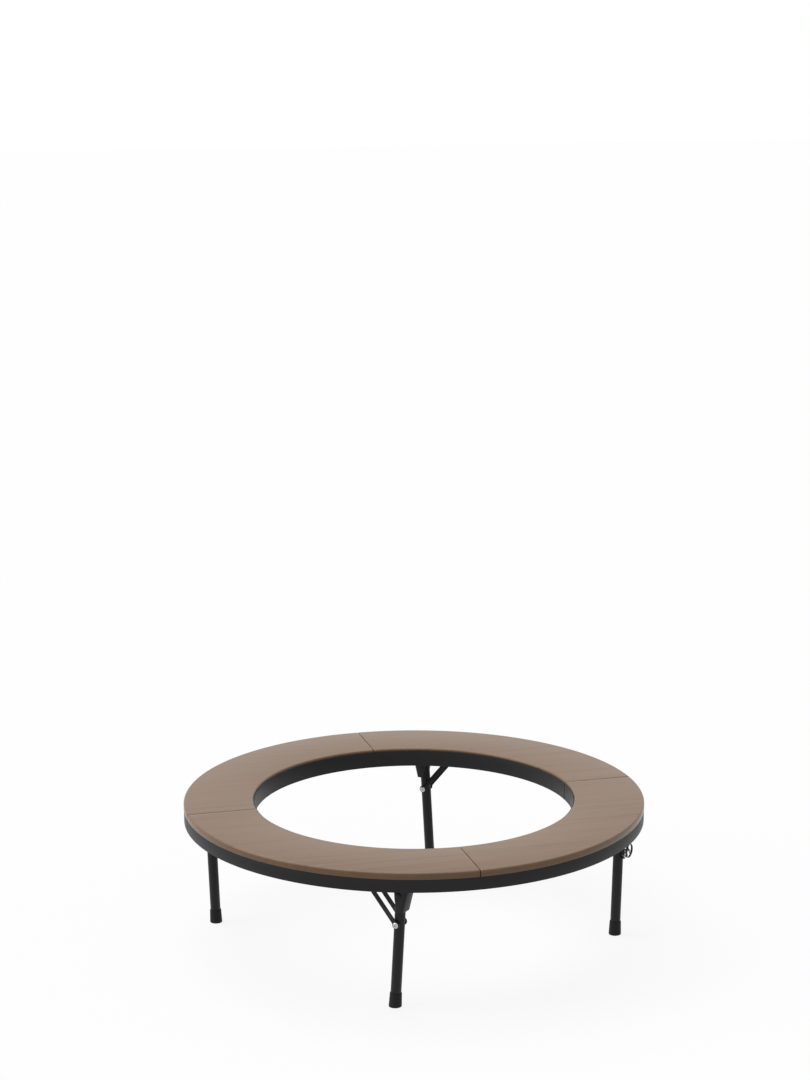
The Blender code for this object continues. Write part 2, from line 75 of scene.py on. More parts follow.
class Graph:
    """The node tree of a material or a world, with the shader that it starts with."""

    def __init__(self, name: str, world: bool = False) -> None:
        """Start a tree.

        Args:
            name: The material's or world's name.
            world: Whether it is a world's.
        """
        self.owner = (bpy.data.worlds if world else bpy.data.materials).new(name)
        self.owner.use_nodes = True
        self.tree = self.owner.node_tree
        self.shader = self.tree.nodes["Background" if world else "Principled BSDF"]

    def add(
        self, kind: str, settings: dict | None = None, inputs: dict | None = None
    ) -> bpy.types.Node:
        """Add a node.

        Args:
            kind: The node's type.
            settings: Its own settings; "stops" holds a ramp's (place, colour) pairs.
            inputs: Values or links for its sockets, by name or number.

        Returns:
            The node.
        """
        node = self.tree.nodes.new(kind)
        for key, value in (settings or {}).items():
            if key == "stops":
                self.set_stops(node, value)
            else:
                setattr(node, key, value)
        for key, value in (inputs or {}).items():
            self.feed(node.inputs[key], value)
        return node

    @staticmethod
    def set_stops(node: bpy.types.Node, stops: list[tuple[float, tuple]]) -> None:
        """Set a ramp's stops.

        Args:
            node: The Color Ramp node.
            stops: Pairs of place and colour, in order.
        """
        ramp = node.color_ramp
        while len(ramp.elements) < len(stops):
            ramp.elements.new(0.5)
        for element, (place, colour) in zip(ramp.elements, stops):
            element.position = place
            element.color = (*colour, 1.0)

    def feed(self, socket: bpy.types.NodeSocket, value: object) -> None:
        """Give a socket a value or a link.

        Args:
            socket: The socket to fill.
            value: A number, tuple, socket or wrapped socket.
        """
        if isinstance(value, Value):
            value = value.socket
        if isinstance(value, bpy.types.NodeSocket):
            self.tree.links.new(value, socket)
        else:
            socket.default_value = value

    def dress(self, inputs: dict) -> None:
        """Fill the starting shader's sockets.

        Args:
            inputs: Values or links for its sockets, by name.
        """
        for key, value in inputs.items():
            self.feed(self.shader.inputs[key], value)

    def value(self, node: bpy.types.Node, output: str | int = 0) -> Value:
        """Wrap an output of a node so that it can be used in sums.

        Args:
            node: The node.
            output: The output's name or number.

        Returns:
            The wrapped socket.
        """
        return Value(self, node.outputs[output])

    def noise(
        self, place: object, scale: float, detail: float = 3.0, distortion: float = 0.0
    ) -> Value:
        """Add a noise pattern.

        Args:
            place: The coordinates that it reads.
            scale: Its scale, per metre of those coordinates.
            detail: Its layers.
            distortion: How much it is warped.

        Returns:
            The pattern, from 0 to 1.
        """
        inputs = {"Vector": place, "Scale": scale, "Detail": detail, "Distortion": distortion}
        return self.value(self.add("ShaderNodeTexNoise", None, inputs), "Fac")

    def blend(self, factor: object, first: object, second: object) -> bpy.types.NodeSocket:
        """Mix two colours.

        Args:
            factor: How much of the second.
            first: The first colour.
            second: The second colour.

        Returns:
            The mixed colour's socket.
        """
        node = self.add("ShaderNodeMix", {"data_type": "RGBA"}, {0: factor, 6: first, 7: second})
        return node.outputs[2]

    def bump(self, height: object, strength: float, distance: float) -> bpy.types.NodeSocket:
        """Add a bump.

        Args:
            height: The height pattern.
            strength: How strong it shows.
            distance: Its height in metres.

        Returns:
            The normal's socket.
        """
        inputs = {"Height": height, "Strength": strength, "Distance": distance}
        return self.add("ShaderNodeBump", None, inputs).outputs["Normal"]


class Value:
    """A number socket that takes part in Python sums by adding Math nodes."""

    def __init__(self, graph: Graph, socket: bpy.types.NodeSocket) -> None:
        """Wrap a socket.

        Args:
            graph: The tree that it is in.
            socket: The output socket.
        """
        self.graph = graph
        self.socket = socket

    def math(self, operation: str, first: object, second: object, clamp: bool = False) -> Value:
        """Add a Math node.

        Args:
            operation: The node's operation.
            first: The first value or wrapped socket.
            second: The second value or wrapped socket.
            clamp: Whether the result is kept from 0 to 1.

        Returns:
            The wrapped result.
        """
        settings = {"operation": operation, "use_clamp": clamp}
        return self.graph.value(self.graph.add("ShaderNodeMath", settings, {0: first, 1: second}))

    def __add__(self, other: object) -> Value:
        """Add."""
        return self.math("ADD", self, other)

    __radd__ = __add__

    def __sub__(self, other: object) -> Value:
        """Subtract."""
        return self.math("SUBTRACT", self, other)

    def __rsub__(self, other: object) -> Value:
        """Subtract from a number."""
        return self.math("SUBTRACT", other, self)

    def __mul__(self, other: object) -> Value:
        """Multiply."""
        return self.math("MULTIPLY", self, other)

    __rmul__ = __mul__

    def clamped(self) -> Value:
        """Keep from 0 to 1."""
        return self.math("ADD", self, 0.0, clamp=True)


@dataclass(frozen=True)
class StainedWood:
    """Brown stained board with fine straight grain under a semi-gloss lacquer."""

    tone: float = 0.0
    light: tuple = (0.196, 0.106, 0.047)
    dark: tuple = (0.156, 0.079, 0.034)
    pore: tuple = (0.085, 0.038, 0.016)
    streaks: tuple = (1.6, 42.0, 42.0)
    fibres: tuple = (14.0, 620.0, 620.0)
    bands: tuple = (0.28, 0.50, 0.74)
    shift: tuple = (1.0, 7.0, 0.0)
    pore_start: float = 0.58
    pore_gain: float = 5.0
    pore_share: float = 0.45
    smoothest: float = 0.28
    spread: float = 0.10
    relief: tuple = (0.12, 0.0004)
    specular: float = 0.42
    coat: float = 0.08
    coat_roughness: float = 0.22

    def make(self, name: str) -> bpy.types.Material:
        """Make the material.

        Args:
            name: The material's name.

        Returns:
            The material.
        """
        graph = Graph(name)
        place = graph.add("ShaderNodeTexCoord").outputs["Object"]
        broad = graph.noise(self.stretched(graph, place, self.streaks), 1.0, 6.0, 0.8)
        fine = graph.noise(self.stretched(graph, place, self.fibres), 1.0, 2.0)
        stops = list(zip(self.bands, (self.dark, self.light, self.dark)))
        base = graph.add("ShaderNodeValToRGB", {"stops": stops}, {"Fac": broad}).outputs["Color"]
        pores = ((fine - self.pore_start) * self.pore_gain).clamped()
        colour = graph.blend(pores * self.pore_share, base, (*self.pore, 1.0))
        graph.dress(
            {
                "Base Color": colour,
                "Roughness": broad * self.spread + self.smoothest,
                "Normal": graph.bump(fine, *self.relief),
                "Specular IOR Level": self.specular,
                "Coat Weight": self.coat,
                "Coat Roughness": self.coat_roughness,
            }
        )
        return graph.owner

    def stretched(self, graph: Graph, place: object, scale: tuple) -> bpy.types.NodeSocket:
        """Stretch coordinates along the grain.

        Args:
            graph: The tree.
            place: The coordinates.
            scale: The scale on each axis.

        Returns:
            The stretched coordinates' socket.
        """
        shift = tuple(self.tone * share for share in self.shift)
        inputs = {"Vector": place, "Scale": scale, "Location": shift}
        return graph.add("ShaderNodeMapping", None, inputs).outputs[0]


@dataclass(frozen=True)
class Mottled:
    """A finish of two close shades in soft clouds, with a fine grain on its surface."""

    colour: tuple
    second: tuple
    clouds: tuple
    grain: tuple
    smoothest: float
    spread: float
    relief: tuple
    specular: float = 0.5
    metallic: float = 0.0

    def make(self, name: str) -> bpy.types.Material:
        """Make the material.

        Args:
            name: The material's name.

        Returns:
            The material.
        """
        graph = Graph(name)
        place = graph.add("ShaderNodeTexCoord").outputs["Object"]
        cloud = graph.noise(place, *self.clouds)
        grain = graph.noise(place, *self.grain)
        graph.dress(
            {
                "Base Color": graph.blend(cloud, (*self.colour, 1.0), (*self.second, 1.0)),
                "Roughness": cloud * self.spread + self.smoothest,
                "Normal": graph.bump(grain, *self.relief),
                "Specular IOR Level": self.specular,
                "Metallic": self.metallic,
            }
        )
        return graph.owner


@dataclass(frozen=True)
class PowderCoat(Mottled):
    """Satin black powder coat on steel, with its fine orange peel."""

    colour: tuple = (0.011, 0.0115, 0.0125)
    second: tuple = (0.018, 0.018, 0.019)
    clouds: tuple = (14.0, 3.0)
    grain: tuple = (1100.0, 2.0)
    smoothest: float = 0.40
    spread: float = 0.12
    relief: tuple = (0.25, 0.00008)
    specular: float = 0.24


@dataclass(frozen=True)
class ZincPlate(Mottled):
    """Bright zinc plate with faint turning marks."""

    colour: tuple = (0.52, 0.52, 0.51)
    second: tuple = (0.40, 0.40, 0.40)
    clouds: tuple = (260.0, 3.0)
    grain: tuple = (2600.0, 2.0)
    smoothest: float = 0.19
    spread: float = 0.16
    relief: tuple = (0.10, 0.00005)
    metallic: float = 1.0


@dataclass(frozen=True)
class BlackWire(Mottled):
    """Black lacquered spring wire."""

    colour: tuple = (0.016, 0.016, 0.017)
    second: tuple = (0.028, 0.028, 0.029)
    clouds: tuple = (420.0, 2.0)
    grain: tuple = (420.0, 2.0)
    smoothest: float = 0.23
    spread: float = 0.14
    relief: tuple = (0.10, 0.00005)


@dataclass(frozen=True)
class FootRubber(Mottled):
    """Matt black moulded rubber."""

    colour: tuple = (0.008, 0.008, 0.0085)
    second: tuple = (0.014, 0.014, 0.0145)
    clouds: tuple = (90.0, 3.0)
    grain: tuple = (1800.0, 2.0)
    smoothest: float = 0.55
    spread: float = 0.15
    relief: tuple = (0.20, 0.0001)
    specular: float = 0.24


@dataclass
class Finishes:
    """The table's finishes, each made once."""

    tone_step: float = 0.37
    made: dict[str, bpy.types.Material] = field(default_factory=dict)

    def wood(self, number: int) -> bpy.types.Material:
        """Make a board's wood, with its grain along the line where the halves part.

        Args:
            number: The board's number.

        Returns:
            The material.
        """
        return StainedWood(tone=self.tone_step * (number - 1)).make(f"stained_wood_{number}")

    def get(self, slot: Slot) -> bpy.types.Material:
        """Get the finish of a slot other than wood.

        Args:
            slot: The slot.

        Returns:
            The material.
        """
        makers = {
            Slot.STEEL: PowderCoat(),
            Slot.ZINC: ZincPlate(),
            Slot.WIRE: BlackWire(),
            Slot.RUBBER: FootRubber(),
        }
        if slot.value not in self.made:
            self.made[slot.value] = makers[slot].make(f"finish_{slot.value}")
        return self.made[slot.value]


class Bench:
    """Blender's modelling operators, driven as by hand."""

    @staticmethod
    def clear() -> None:
        """Deselect everything."""
        bpy.ops.object.select_all(action="DESELECT")

    @staticmethod
    def hold(piece: bpy.types.Object, *others: bpy.types.Object) -> None:
        """Select some pieces, and no others.

        Args:
            piece: The piece that becomes the active one.
            others: The other pieces.
        """
        Bench.clear()
        for item in (piece, *others):
            item.select_set(True)
        bpy.context.view_layer.objects.active = piece

    @staticmethod
    def join(piece: bpy.types.Object, *others: bpy.types.Object) -> None:
        """Join other pieces to one.

        Args:
            piece: The piece that they are joined to.
            others: The other pieces.
        """
        Bench.hold(piece, *others)
        bpy.ops.object.join()

    @staticmethod
    @contextmanager
    def editing(piece: bpy.types.Object) -> Iterator[None]:
        """Edit one piece in edit mode.

        Args:
            piece: The piece.
        """
        Bench.hold(piece)
        bpy.ops.object.mode_set(mode="EDIT")
        yield
        bpy.ops.object.mode_set(mode="OBJECT")

    @staticmethod
    def select(pick: Pick, test: Callable[[Vector], bool]) -> None:
        """Select what passes a test by its middle, in edit mode.

        Args:
            pick: Whether vertices, edges or faces are picked.
            test: The test of a place.
        """
        bpy.ops.mesh.select_mode(type=pick.value)
        bpy.ops.mesh.select_all(action="DESELECT")
        mesh = bmesh.from_edit_mesh(bpy.context.edit_object.data)
        if pick is Pick.VERTS:
            for vert in mesh.verts:
                vert.select = test(vert.co)
        elif pick is Pick.EDGES:
            for edge in mesh.edges:
                edge.select = test((edge.verts[0].co + edge.verts[1].co) / 2)
        else:
            for face in mesh.faces:
                face.select = test(face.calc_center_median())
        mesh.select_flush_mode()
        bmesh.update_edit_mesh(bpy.context.edit_object.data)

    @staticmethod
    def cross_rod(radius: float, low: float, high: float, sides: int = 48) -> bpy.types.Object:
        """Make a round rod along the y axis.

        Args:
            radius: Its radius.
            low: Where it starts along y.
            high: Where it ends.
            sides: Its sides.

        Returns:
            The rod.
        """
        Bench.clear()
        bpy.ops.mesh.primitive_cylinder_add(
            vertices=sides,
            radius=radius,
            depth=high - low,
            location=(0.0, (low + high) / 2, 0.0),
            rotation=(math.pi / 2, 0.0, 0.0),
        )
        rod = bpy.context.active_object
        Bench.settle(rod)
        return rod

    @staticmethod
    def settle(piece: bpy.types.Object, place: Matrix | None = None) -> None:
        """Move a piece to its place and leave its origin at the world's.

        Args:
            piece: The piece.
            place: The place to move it to first.
        """
        if place is not None:
            piece.matrix_world = place @ piece.matrix_world
        Bench.hold(piece)
        bpy.ops.object.transform_apply(location=True, rotation=True, scale=True)

    @staticmethod
    def merge(piece: bpy.types.Object, distance: float) -> None:
        """Merge the points of a piece that lie together.

        Args:
            piece: The piece.
            distance: How near they lie.
        """
        with Bench.editing(piece):
            bpy.ops.mesh.select_all(action="SELECT")
            bpy.ops.mesh.remove_doubles(threshold=distance)

    @staticmethod
    def round_edges(
        piece: bpy.types.Object, width: float, segments: int, angle: float = 40.0
    ) -> None:
        """Bevel the sharp edges of a piece.

        Args:
            piece: The piece.
            width: The bevel's width.
            segments: Its segments.
            angle: The least angle of an edge that is bevelled, in degrees.
        """
        bevel = piece.modifiers.new("Rounded", "BEVEL")
        bevel.width = width
        bevel.segments = segments
        bevel.limit_method = "ANGLE"
        bevel.angle_limit = math.radians(angle)
        Bench.apply(piece)

    @staticmethod
    def apply(piece: bpy.types.Object) -> None:
        """Apply every modifier of a piece.

        Args:
            piece: The piece.
        """
        Bench.hold(piece)
        for name in [modifier.name for modifier in piece.modifiers]:
            bpy.ops.object.modifier_apply(modifier=name)

    @staticmethod
    def carve(piece: bpy.types.Object, other: bpy.types.Object, operation: str) -> None:
        """Join another shape to a piece, or cut it out, and drop the other shape.

        Args:
            piece: The piece.
            other: The other shape.
            operation: "UNION" or "DIFFERENCE".
        """
        carving = piece.modifiers.new("Carved", "BOOLEAN")
        carving.object = other
        carving.operation = operation
        carving.solver = "EXACT"
        Bench.apply(piece)
        bpy.data.objects.remove(other, do_unlink=True)

    @staticmethod
    def smooth(piece: bpy.types.Object, angle: float = 35.0) -> None:
        """Shade a piece smooth, apart from its sharp edges.

        Args:
            piece: The piece.
            angle: The angle that counts as sharp, in degrees.
        """
        Bench.hold(piece)
        bpy.ops.object.shade_smooth_by_angle(angle=math.radians(angle))


@dataclass
class Piece:
    """What every piece of the table shares: how it is named, finished and carried."""

    finishes: Finishes

    def dress(
        self,
        piece: bpy.types.Object,
        name: str,
        material: bpy.types.Material,
        slot: Slot,
        body: str,
        nodes: tuple[str, ...] = (),
    ) -> bpy.types.Object:
        """Finish a piece and say what carries it.

        Args:
            piece: The piece.
            name: Its name.
            material: Its material.
            slot: Not used.
            body: The body that it rides on.
            nodes: The nodes that it stands for.

        Returns:
            The piece.
        """
        piece.name = name
        piece.data.name = name
        piece.data.materials.clear()
        piece.data.materials.append(material)
        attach(piece, body)
        if nodes:
            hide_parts(*nodes)
        LOG.info("%s: %d faces on %s", name, len(piece.data.polygons), body)
        return piece


@dataclass
class RingSection(Piece):
    """A bar of one cross-section, swept round part of the ring."""

    inside: float
    outside: float
    bottom: float
    top: float
    start: float
    sweep: float
    steps: int = 96
    corner_segments: int = 6
    join_distance: float = 0.00001

    def build(self, top_round: float, edge_round: float) -> bpy.types.Object:
        """Sweep the section round the ring's axis.

        Args:
            top_round: The radius of the upper corners, or 0.
            edge_round: The width of the small bevel on the other edges.

        Returns:
            The piece.
        """
        Bench.clear()
        middle = ((self.inside + self.outside) / 2, 0.0, (self.bottom + self.top) / 2)
        upright = (math.pi / 2, 0.0, 0.0)
        bpy.ops.mesh.primitive_plane_add(size=1.0, location=middle, rotation=upright)
        piece = bpy.context.active_object
        piece.scale = (self.outside - self.inside, self.top - self.bottom, 1.0)
        Bench.settle(piece)
        Bench.settle(piece, Matrix.Rotation(self.start, 4, "Z"))
        with Bench.editing(piece):
            if top_round > 0:
                Bench.select(Pick.VERTS, lambda place: place.z > self.top - NEAR)
                bpy.ops.mesh.bevel(
                    offset=top_round, segments=self.corner_segments, affect="VERTICES"
                )
            bpy.ops.mesh.select_all(action="SELECT")
            bpy.ops.mesh.spin(
                steps=self.steps, angle=self.sweep, center=(0.0, 0.0, 0.0), axis=(0.0, 0.0, 1.0)
            )
            bpy.ops.mesh.select_all(action="SELECT")
            bpy.ops.mesh.remove_doubles(threshold=self.join_distance)
            bpy.ops.mesh.normals_make_consistent(inside=False)
        Bench.round_edges(piece, edge_round, 2)
        Bench.smooth(piece)
        return piece


@dataclass
class Top(Piece):
    """The four quarter boards."""

    inside: float = 0.34849
    outer: float = 0.4994
    height: float = 0.305
    thickness: float = 0.014
    edge: float = 0.004
    end_edge: float = 0.0006
    seam: float = 0.0012

    def build(self) -> None:
        """Build the boards."""
        trim = self.seam / 2 / self.inside
        for number in range(1, 5):
            section = RingSection(
                self.finishes,
                self.inside,
                self.outer,
                self.height - self.thickness,
                self.height,
                math.radians(90 * (number - 1)) + trim,
                math.radians(90) - 2 * trim,
            )
            board = section.build(self.edge, self.end_edge)
            wood = self.finishes.wood(number)
            node = f"board_{number}"
            self.dress(board, f"quarter_board_{number}", wood, Slot.WOOD, "frame", (node,))


@dataclass
class Bands(Piece):
    """The rolled strips round the outside and the opening, one of each to a half."""

    outer_face: float = 0.4990
    inner_face: float = 0.346
    wall: float = 0.002
    bottom: float = 0.264
    outer_top: float = 0.2907
    inner_top: float = 0.3005
    split: float = 0.0014
    edge: float = 0.0004
    steps: int = 192

    def build(self) -> None:
        """Build the four strips."""
        for half, start in (("front", 180), ("back", 0)):
            for label, inside, top in (
                ("outer", self.outer_face - self.wall, self.outer_top),
                ("inner", self.inner_face, self.inner_top),
            ):
                trim = self.split / 2 / inside
                section = RingSection(
                    self.finishes,
                    inside,
                    inside + self.wall,
                    self.bottom,
                    top,
                    math.radians(start) + trim,
                    math.pi - 2 * trim,
                    steps=self.steps,
                )
                strip = section.build(0.0, self.edge)
                steel = self.finishes.get(Slot.STEEL)
                node = f"{label}_band_{half}"
                self.dress(strip, f"{label}_strip_{half}", steel, Slot.STEEL, "frame", (node,))


@dataclass
class Leg(Piece):
    """One folding leg with its bracket, brace, bolt and lock pin."""

    number: int
    # Where the leg stands, how it leans and the play between its pieces
    plane: float = 0.3999
    setback: float = 0.199431
    pivot: float = 0.243
    lean: float = math.radians(3.5)
    gap: float = 0.0003
    # The tube
    tube_radius: float = 0.011
    tube_wall: float = 0.0015
    tube_above: float = 0.013
    tube_bottom: float = 0.006
    tube_opening: float = 0.04
    round_sides: int = 64
    # The foot cap
    foot_height: float = 0.030
    foot_top: float = 0.0123
    foot_bottom: float = 0.0135
    foot_socket: float = 0.0235
    foot_shoulder: float = 0.0009
    foot_edge: float = 0.0012
    # The bolt, its heads' steps from the seat outwards, and its collars
    bolt_drop: float = 0.063
    bolt_radius: float = 0.003
    bolt_head: float = 0.0063
    head_steps: tuple = (
        (0.0, 0.0016),
        (-0.0012, 0.0010),
        (-0.0022, 0.0007),
        (-0.0012, 0.0002),
        (-0.0006, -0.0012),
    )
    collar_radius: float = 0.005
    # The brace's bars and the eyes at their ends
    brace_outside: float = 0.0156
    brace_inside: float = 0.0136
    eye_radius: float = 0.0085
    eye_swell: float = 0.0002
    eye_edge: float = 0.0004
    hole_reach: float = 0.02
    # The lock pin and its pull ring
    lock_drop: float = 0.051
    lock_radius: float = 0.0025
    lock_tip: float = 0.0281
    lock_past: float = 0.001
    lock_edge: float = 0.0009
    lock_sides: int = 40
    ring_at: float = 0.0253
    ring_radius: float = 0.0148
    ring_tilt: float = math.radians(30.0)
    ring_pitch: float = 0.0023
    ring_turns: int = 2
    ring_steps: int = 72
    wire_radius: float = 0.0011
    wire_sides: int = 16
    # Small edges, and how near two points lie that are one
    fine_edge: float = 0.0003
    pressed_edge: float = 0.0005
    weld: float = 0.00003
    merge: float = 0.00002

    @property
    def length(self) -> float:
        """The leg's length from its pivot to the ground."""
        return self.pivot / math.cos(self.lean)

    def axis(self, drop: float = 0.0) -> Matrix:
        """Get the frame of a cross axis of the leg.

        Args:
            drop: How far the axis is below the pivot, along the leg.

        Returns:
            The frame: x along the fold, y out of the ring, z up.
        """
        turn = Matrix.Rotation(math.radians(90 * (self.number - 1) - 45), 4, "Z")
        along = drop * math.sin(self.lean) - self.setback
        place = Vector((along, self.plane, self.pivot - drop * math.cos(self.lean)))
        return turn @ Matrix.Translation(place)

    def leaning(self) -> Matrix:
        """Get the frame of the leg's own centre line, with its pivot as origin."""
        return self.axis() @ Matrix.Rotation(-self.lean, 4, "Y")

    def build(self) -> None:
        """Build the leg's pieces."""
        self.build_tube()
        self.build_foot()
        self.build_bolt()
        if f"lock_pin_{self.number}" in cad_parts:
            self.build_pin()
            self.build_ring()
        self.soften("leg_bracket", "cheek_bracket", "frame")
        self.build_bars()

    def build_tube(self) -> None:
        """Build the tube, open at its upper end."""
        bottom = self.tube_bottom + self.foot_bottom * math.tan(self.lean) - self.length
        depth = self.tube_above - bottom
        Bench.clear()
        middle = (0.0, 0.0, (self.tube_above + bottom) / 2)
        bpy.ops.mesh.primitive_cylinder_add(
            vertices=self.round_sides, radius=self.tube_radius, depth=depth, location=middle
        )
        tube = bpy.context.active_object
        Bench.settle(tube)
        with Bench.editing(tube):
            Bench.select(Pick.FACES, lambda place: place.z > self.tube_above - NEAR)
            bpy.ops.mesh.inset(thickness=self.tube_wall)
            bpy.ops.mesh.extrude_region_move(
                TRANSFORM_OT_translate={"value": (0.0, 0.0, -self.tube_opening)}
            )
        Bench.round_edges(tube, self.fine_edge, 2, 60.0)
        Bench.smooth(tube)
        Bench.settle(tube, self.leaning())
        steel = self.finishes.get(Slot.STEEL)
        body = f"leg_{self.number}"
        node = f"leg_tube_{self.number}"
        self.dress(tube, f"tube_{self.number}", steel, Slot.STEEL, body, (node,))

    def build_foot(self) -> None:
        """Build the foot cap, flared downwards and cut level with the ground."""
        Bench.clear()
        top = self.foot_height - self.length
        bottom = -self.foot_bottom * 0.5 - self.length
        bpy.ops.mesh.primitive_cone_add(
            vertices=self.round_sides,
            radius1=self.foot_bottom + self.gap,
            radius2=self.foot_top,
            depth=top - bottom,
            location=(0.0, 0.0, (top + bottom) / 2),
        )
        foot = bpy.context.active_object
        Bench.settle(foot)
        with Bench.editing(foot):
            Bench.select(Pick.FACES, lambda place: place.z > top - NEAR)
            bpy.ops.mesh.inset(thickness=self.foot_top - self.tube_radius - self.gap)
            bpy.ops.mesh.extrude_region_move(
                TRANSFORM_OT_translate={"value": (0.0, 0.0, -self.foot_socket)}
            )
            rim = self.foot_top - self.gap
            Bench.select(Pick.EDGES, lambda place: place.z > top - NEAR and place.xy.length > rim)
            bpy.ops.mesh.bevel(offset=self.foot_shoulder, segments=4, affect="EDGES")
        Bench.settle(foot, self.leaning())
        with Bench.editing(foot):
            bpy.ops.mesh.select_all(action="SELECT")
            bpy.ops.mesh.bisect(
                plane_co=(0.0, 0.0, 0.0),
                plane_no=(0.0, 0.0, -1.0),
                use_fill=True,
                clear_outer=True,
            )
            Bench.select(Pick.EDGES, lambda place: place.z < NEAR)
            bpy.ops.mesh.bevel(offset=self.foot_edge, segments=4, affect="EDGES")
        Bench.smooth(foot)
        rubber = self.finishes.get(Slot.RUBBER)
        body = f"leg_{self.number}"
        node = f"foot_cap_{self.number}"
        self.dress(foot, f"foot_{self.number}", rubber, Slot.RUBBER, body, (node,))

    def build_bolt(self) -> None:
        """Build the shouldered bolt that the brace turns on, with its two low domed heads."""
        seat = self.brace_outside + self.gap
        bolt = Bench.cross_rod(self.bolt_radius, -seat, seat)
        for side in (1, -1):
            with Bench.editing(bolt):
                Bench.select(Pick.FACES, lambda place: place.y * side > seat - NEAR)
                self.step(self.bolt_head - self.bolt_radius, 0.0)
                for widen, along in self.head_steps:
                    self.step(widen, side * along)
        Bench.smooth(bolt, 50.0)
        Bench.join(bolt, *(self.build_collar(side) for side in (1, -1)))
        Bench.settle(bolt, self.axis(self.bolt_drop))
        zinc = self.finishes.get(Slot.ZINC)
        body = f"leg_{self.number}"
        node = f"brace_bolt_{self.number}"
        self.dress(bolt, f"shoulder_bolt_{self.number}", zinc, Slot.ZINC, body, (node,))

    @staticmethod
    def step(widen: float, along: float) -> None:
        """Extrude the selected round face and widen or narrow it.

        Args:
            widen: How much wider the face gets, in metres of radius.
            along: How far it moves along y.
        """
        mesh = bmesh.from_edit_mesh(bpy.context.edit_object.data)
        picked = [face for face in mesh.faces if face.select]
        centre = picked[0].calc_center_median()
        radius = (picked[0].verts[0].co - centre).length
        bpy.ops.mesh.extrude_region_move(TRANSFORM_OT_translate={"value": (0.0, along, 0.0)})
        share = (radius + widen) / radius
        middle = (centre.x, centre.y + along, centre.z)
        bpy.ops.transform.resize(value=(share, 1.0, share), center_override=middle)

    def build_collar(self, side: int) -> bpy.types.Object:
        """Build the collar between the tube and one bar of the brace.

        Args:
            side: 1 for the outer side of the leg, -1 for the inner.

        Returns:
            The collar.
        """
        ends = (side * (self.tube_radius + self.gap), side * (self.brace_inside - self.gap))
        collar = Bench.cross_rod(self.collar_radius, min(ends), max(ends))
        Bench.round_edges(collar, self.fine_edge, 2, 60.0)
        Bench.smooth(collar)
        return collar

    def build_pin(self) -> None:
        """Build the lock pin with its rounded tip."""
        tail = -self.tube_radius - self.lock_past
        pin = Bench.cross_rod(self.lock_radius, tail, self.lock_tip, self.lock_sides)
        Bench.round_edges(pin, self.lock_edge, 4, 60.0)
        Bench.smooth(pin)
        Bench.settle(pin, self.axis(self.lock_drop))
        zinc = self.finishes.get(Slot.ZINC)
        body = f"pin_{self.number}"
        node = f"lock_pin_{self.number}"
        self.dress(pin, f"spring_pin_{self.number}", zinc, Slot.ZINC, body, (node,))

    def build_ring(self) -> None:
        """Build the pull ring of two turns, and the wire that crosses it through the pin."""
        Bench.clear()
        bpy.ops.mesh.primitive_circle_add(
            vertices=self.wire_sides,
            radius=self.wire_radius,
            location=(self.ring_radius, 0.0, -self.ring_pitch),
            rotation=(math.pi / 2, 0.0, 0.0),
        )
        ring = bpy.context.active_object
        Bench.settle(ring)
        coil = ring.modifiers.new("Coil", "SCREW")
        coil.angle = math.tau
        coil.screw_offset = self.ring_pitch
        coil.iterations = self.ring_turns
        coil.steps = coil.render_steps = self.ring_steps
        Bench.apply(ring)
        with Bench.editing(ring):
            bpy.ops.mesh.select_all(action="SELECT")
            bpy.ops.mesh.fill_holes(sides=self.wire_sides)
            bpy.ops.mesh.normals_make_consistent(inside=False)
        Bench.settle(ring, Matrix.Rotation(math.pi / 2, 4, "X"))
        Bench.clear()
        bpy.ops.mesh.primitive_cylinder_add(
            vertices=self.wire_sides, radius=self.wire_radius, depth=2 * self.ring_radius
        )
        wire = bpy.context.active_object
        Bench.settle(wire)
        Bench.join(ring, wire)
        Bench.smooth(ring, 60.0)
        place = self.axis(self.lock_drop) @ Matrix.Translation((0.0, self.ring_at, 0.0))
        Bench.settle(ring, place @ Matrix.Rotation(self.ring_tilt, 4, "Y"))
        black = self.finishes.get(Slot.WIRE)
        body = f"pin_{self.number}"
        node = f"pull_ring_{self.number}"
        self.dress(ring, f"finger_ring_{self.number}", black, Slot.WIRE, body, (node,))

    def build_disc(self, radius: float, low: float, high: float) -> bpy.types.Object:
        """Build a disc on the bolt's axis.

        Args:
            radius: Its radius.
            low: Where it starts along the axis.
            high: Where it ends.

        Returns:
            The disc.
        """
        disc = Bench.cross_rod(radius, low, high)
        Bench.settle(disc, self.axis(self.bolt_drop))
        return disc

    def build_bars(self) -> None:
        """Build the brace's two bars with the round eyes that turn on the bolt."""
        bars = self.soften("brace", "brace_bars", f"brace_link_{self.number}")
        low = self.brace_inside - self.eye_swell
        high = self.brace_outside + self.eye_swell
        for ends in ((low, high), (-high, -low)):
            eye = self.build_disc(self.eye_radius, *ends)
            Bench.round_edges(eye, self.eye_edge, 2)
            Bench.carve(bars, eye, "UNION")
        hole = self.build_disc(self.bolt_radius + self.gap, -self.hole_reach, self.hole_reach)
        Bench.carve(bars, hole, "DIFFERENCE")
        Bench.merge(bars, self.weld)
        Bench.smooth(bars)

